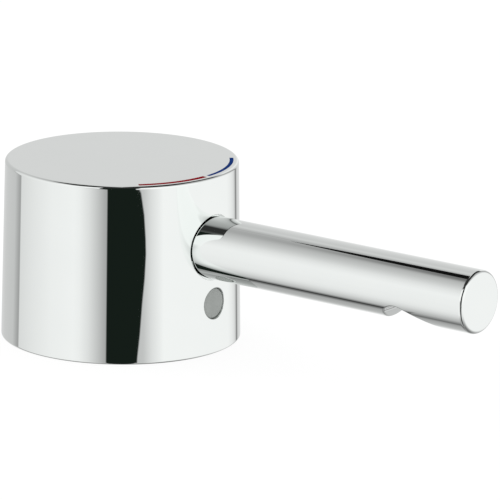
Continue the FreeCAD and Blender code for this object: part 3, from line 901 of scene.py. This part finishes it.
world = bpy.data.worlds.new("studio")
bpy.context.scene.world = world
world.use_nodes = True
tree = world.node_tree
tree.nodes.clear()
facing = tree.nodes.new("ShaderNodeVectorRotate")
facing.rotation_type = "Z_AXIS"
facing.inputs["Angle"].default_value = -math.radians(VIEW_AZIMUTH)
join(tree, tree.nodes.new("ShaderNodeTexCoord").outputs["Generated"], facing.inputs["Vector"])
axes = tree.nodes.new("ShaderNodeSeparateXYZ")
join(tree, facing.outputs[0], axes.inputs[0])
bearing = math_node(tree, "DEGREES", math_node(tree, "ARCTAN2", axes.outputs["Y"], axes.outputs["X"]))
elevation = math_node(tree, "DEGREES", math_node(tree, "ARCSINE", axes.outputs["Z"]))
straight = math_node(tree, "WRAP", bearing, FIRST_BEARING + 360.0, FIRST_BEARING)

# Panels left and right of the seam
from_level = math_node(tree, "SUBTRACT", elevation, LEAN_LEVEL)
above_level = math_node(tree, "MAXIMUM", from_level, 0.0)
below_level = math_node(tree, "MINIMUM", from_level, 0.0)
leaned = math_node(tree, "MULTIPLY_ADD", below_level, LEAN_BELOW, bearing)
leaned = math_node(tree, "MULTIPLY_ADD", above_level, LEAN_ABOVE, leaned)
around = math_node(tree, "WRAP", leaned, FIRST_BEARING + 360.0, FIRST_BEARING)
past_seam = math_node(tree, "SUBTRACT", around, SEAM_BEARING)
side = map_range(tree, past_seam, -SEAM_SOFT, SEAM_SOFT)
fall = mix_colour(tree, side, ramp(tree, elevation, RIGHT_FALL), ramp(tree, elevation, LEFT_FALL))

# Front
in_front = within(tree, straight, FRONT_START, FRONT_END, FRONT_SOFT)
over_edge = math_node(tree, "MULTIPLY_ADD", ramp(tree, straight, CEILING_EDGE), -UPRIGHT, elevation)
front_fall = math_node(
    tree, "MULTIPLY", ramp(tree, elevation, FRONT_LOW), ramp(tree, over_edge, CEILING_FALL))
fall = mix_colour(tree, in_front, fall, front_fall)
plain = math_node(tree, "MULTIPLY", in_front, map_range(tree, elevation, *PLAIN_HEIGHTS))
light = mix_colour(tree, plain, ramp(tree, around, PANELS), grey(PLAIN_FRONT))
panels = math_node(tree, "MULTIPLY", light, fall)

# Right side
beside_front = within(tree, straight, FRONT_END - FRONT_SOFT, SIDE_END, FRONT_SOFT)
from_front = math_node(tree, "SUBTRACT", straight, FRONT_END)
side_height = math_node(tree, "MULTIPLY_ADD", from_front, SIDE_LEAN, elevation)
side_shade = math_node(
    tree, "MULTIPLY", ramp(tree, side_height, SIDE_SHADE), ramp(tree, elevation, SIDE_LOW))
side_shade = mix_colour(tree, beside_front, grey(1.0), side_shade)
past_front = math_node(tree, "MAXIMUM", from_front, 0.0)
near_height = math_node(tree, "MULTIPLY_ADD", past_front, SIDE_LEAN, elevation)
near_up = math_node(
    tree, "MINIMUM",
    map_range(tree, elevation, NEAR_LOW, NEAR_LOW + NEAR_SOFT),
    map_range(tree, near_height, NEAR_TOP, NEAR_TOP - NEAR_SOFT))
near_across = within(tree, straight, NEAR_START, NEAR_END, NEAR_SOFT)
near_panel = math_node(tree, "MULTIPLY", near_across, near_up)

# Back
from_back = math_node(tree, "SUBTRACT", bearing, BACK_MIDDLE)
from_back = math_node(tree, "ABSOLUTE", math_node(tree, "WRAP", from_back, 180.0, -180.0))
at_back = map_range(tree, from_back, BACK_HALF + BACK_SOFT, BACK_HALF - BACK_SOFT)
back_shade = mix_colour(tree, at_back, grey(1.0), ramp(tree, elevation, BACK_SHADE))
panels = math_node(tree, "MULTIPLY", panels, math_node(tree, "MULTIPLY", side_shade, back_shade))
panels = mix_colour(tree, near_panel, panels, grey(NEAR_LIGHT))
from_lit = math_node(tree, "ABSOLUTE", math_node(tree, "SUBTRACT", straight, LIT_MIDDLE))
at_lit = map_range(tree, from_lit, LIT_HALF + LIT_SOFT, LIT_HALF - LIT_SOFT)
lit = math_node(tree, "MULTIPLY", at_lit, ramp(tree, elevation, LIT_RISE))
panels = mix_colour(tree, lit, panels, grey(LIT_CEILING))

# Gap at the seam
low_share = map_range(tree, elevation, *GAP_HEIGHTS)
gap_middle = map_range(tree, low_share, 0.0, 1.0, *GAP_MIDDLE)
gap_right = map_range(tree, low_share, 0.0, 1.0, *GAP_RIGHT)
gap_left = map_range(tree, low_share, 0.0, 1.0, *GAP_LEFT)
gap_depth = map_range(tree, low_share, 0.0, 1.0, *GAP_DEPTH)
gap_fade = map_range(tree, elevation, *GAP_FADE, 1.0, 0.0)
from_middle = math_node(tree, "SUBTRACT", past_seam, gap_middle)
gap_near = math_node(tree, "SUBTRACT", 1.0, math_node(tree, "DIVIDE", from_middle, gap_left))
gap_far = math_node(tree, "ADD", 1.0, math_node(tree, "DIVIDE", from_middle, gap_right))
gap = math_node(tree, "MAXIMUM", math_node(tree, "MINIMUM", gap_near, gap_far), 0.0)
gap_shade = math_node(tree, "MULTIPLY", math_node(tree, "MULTIPLY", gap, gap_depth), gap_fade)
panels = math_node(tree, "MULTIPLY", panels, math_node(tree, "SUBTRACT", 1.0, gap_shade))

# Flag
flag_bow = math_node(tree, "MULTIPLY", ramp(tree, elevation, FLAG_BOW), FLAG_BOW_TURN)
flag_end = math_node(tree, "ADD", flag_bow, FLAG_END - FLAG_BOW_TURN)
spread_left = map_range(tree, elevation, *SPREAD_LEFT_HEIGHTS, 0.0, FLAG_SPREAD_LEFT)
spread_right = map_range(tree, elevation, *SPREAD_RIGHT_HEIGHTS, 0.0, FLAG_SPREAD_RIGHT)
flag_end = math_node(tree, "ADD", flag_end, spread_right)
to_start = math_node(tree, "ADD", straight, spread_left)
after_start = map_range(tree, to_start, FLAG_START - FLAG_SOFT, FLAG_START)
before_end = map_range(tree, math_node(tree, "SUBTRACT", flag_end, straight), 0.0, FLAG_SOFT)
under_top = map_range(tree, elevation, FLAG_TOP + FLAG_TOP_SOFT, FLAG_TOP - FLAG_TOP_SOFT)
flag = math_node(tree, "MULTIPLY", math_node(tree, "MULTIPLY", after_start, before_end), under_top)
mirrored = tree.nodes.new("ShaderNodeBackground")
join(tree, mix_colour(tree, flag, panels, FLAG_COLOUR), mirrored.inputs["Color"])
mirrored.inputs["Strength"].default_value = MIRROR_STRENGTH
even = tree.nodes.new("ShaderNodeBackground")
even.inputs["Color"].default_value = grey(1.0)
even.inputs["Strength"].default_value = EVEN_STRENGTH
pick = tree.nodes.new("ShaderNodeMixShader")
join(tree, tree.nodes.new("ShaderNodeLightPath").outputs["Is Glossy Ray"], pick.inputs[0])
join(tree, even.outputs[0], pick.inputs[1])
join(tree, mirrored.outputs[0], pick.inputs[2])
join(tree, pick.outputs[0], tree.nodes.new("ShaderNodeOutputWorld").inputs[0])

# Blade: a narrow black wedge that hangs high on the left, out of the camera's view.
# The lever mirrors it as the thin dark line along its upper side.
BLADE_MIDDLE = Vector((-283.1, 103.0, 507.5)) * MM
BLADE_ALONG = Vector((0.8204, 0.0886, 0.5648))
BLADE_ACROSS = Vector((0.0, 0.9879, -0.1550))
# Half width of the blade at places along it, in mm
BLADE_FORM = [
    (-22.0, 0.5), (-17.0, 15.0), (-7.3, 38.0), (4.2, 56.0), (16.3, 66.0), (30.0, 77.0), (50.0, 92.0),
]
FELT_TONES = (grey(0.004), grey(0.007))
bpy.ops.object.select_all(action="DESELECT")
bpy.ops.mesh.primitive_grid_add(x_subdivisions=len(BLADE_FORM) - 1, y_subdivisions=1, size=2)
blade = bpy.context.object
blade.name = "blade"
for vertex in blade.data.vertices:
    step = round((vertex.co.x + 1) / 2 * (len(BLADE_FORM) - 1))
    along, half_width = BLADE_FORM[step]
    across = math.copysign(half_width, vertex.co.y)
    vertex.co = BLADE_MIDDLE + (BLADE_ALONG * along + BLADE_ACROSS * across) * MM
felt, tree, surface, grain = new_material("black_felt", broad_scale=60.0, fine_scale=900.0)
join(tree, mix_colour(tree, grain["Fine"], *FELT_TONES), surface.inputs["Base Color"])
matte(surface)
blade.data.materials.append(felt)


def only_mirrored(piece):
    """Lets a piece of the studio show in polished metal alone."""
    piece.visible_camera = False
    piece.visible_diffuse = False
    piece.visible_shadow = False


only_mirrored(blade)

# Strip: paper below the light table, under the lever's end, out of sight.
# It glows with painted light, which falls off to painted shade on its far side.
# The lever mirrors it low down, so that the dark line there fades towards the tip.
STRIP_LOW = Vector((39.3, -22.0, -30.2)) * MM
STRIP_HIGH = Vector((52.0, -7.2, -30.0)) * MM
# Painted glow of the strip on its near and far side
STRIP_LIGHT = (0.47, 0.12)
STRIP_COLOUR = grey(0.02)
strip = block("strip", STRIP_LOW, STRIP_HIGH)
painted_glow_paper, tree, surface, grain = new_material("paper_painted_glow", broad_scale=300.0, fine_scale=3000.0)
strip_axes = tree.nodes.new("ShaderNodeSeparateXYZ")
join(tree, tree.nodes.new("ShaderNodeTexCoord").outputs["Object"], strip_axes.inputs[0])
shade = map_range(tree, strip_axes.outputs["Y"], STRIP_LOW.y, STRIP_HIGH.y, *STRIP_LIGHT)
join(tree, shade, surface.inputs["Emission Color"])
surface.inputs["Emission Strength"].default_value = 1.0
surface.inputs["Base Color"].default_value = STRIP_COLOUR
matte(surface)
strip.data.materials.append(painted_glow_paper)
only_mirrored(strip)

# Camera: a long lens, a little above the lever, turned slightly as in the view
# that the handle is usually shown from.
VIEW_ELEVATION = 14.702
VIEW_DISTANCE = 1159.7 * MM
VIEW_ROLL = 0.744
LENS = 435.8
SENSOR = 36.0
AIM = Vector((19.549, 14.972, 16.746)) * MM
azimuth = math.radians(VIEW_AZIMUTH)
rise = math.radians(VIEW_ELEVATION)
roll = math.radians(VIEW_ROLL)
right = Vector((math.cos(azimuth), math.sin(azimuth), 0))
level = math.cos(rise)
ahead = Vector((-math.sin(azimuth) * level, math.cos(azimuth) * level, -math.sin(rise)))
up = right.cross(ahead)
camera = bpy.data.objects.new("camera", bpy.data.cameras.new("camera"))
bpy.context.scene.collection.objects.link(camera)
camera.data.lens = LENS
camera.data.sensor_width = SENSOR
camera_right = right * math.cos(roll) + up * math.sin(roll)
camera_up = up * math.cos(roll) - right * math.sin(roll)
turn = Matrix((camera_right, camera_up, -ahead)).transposed()
camera.matrix_world = Matrix.Translation(AIM - ahead * VIEW_DISTANCE) @ turn.to_4x4()
bpy.context.scene.camera = camera
bpy.context.scene.view_settings.view_transform = "Standard"
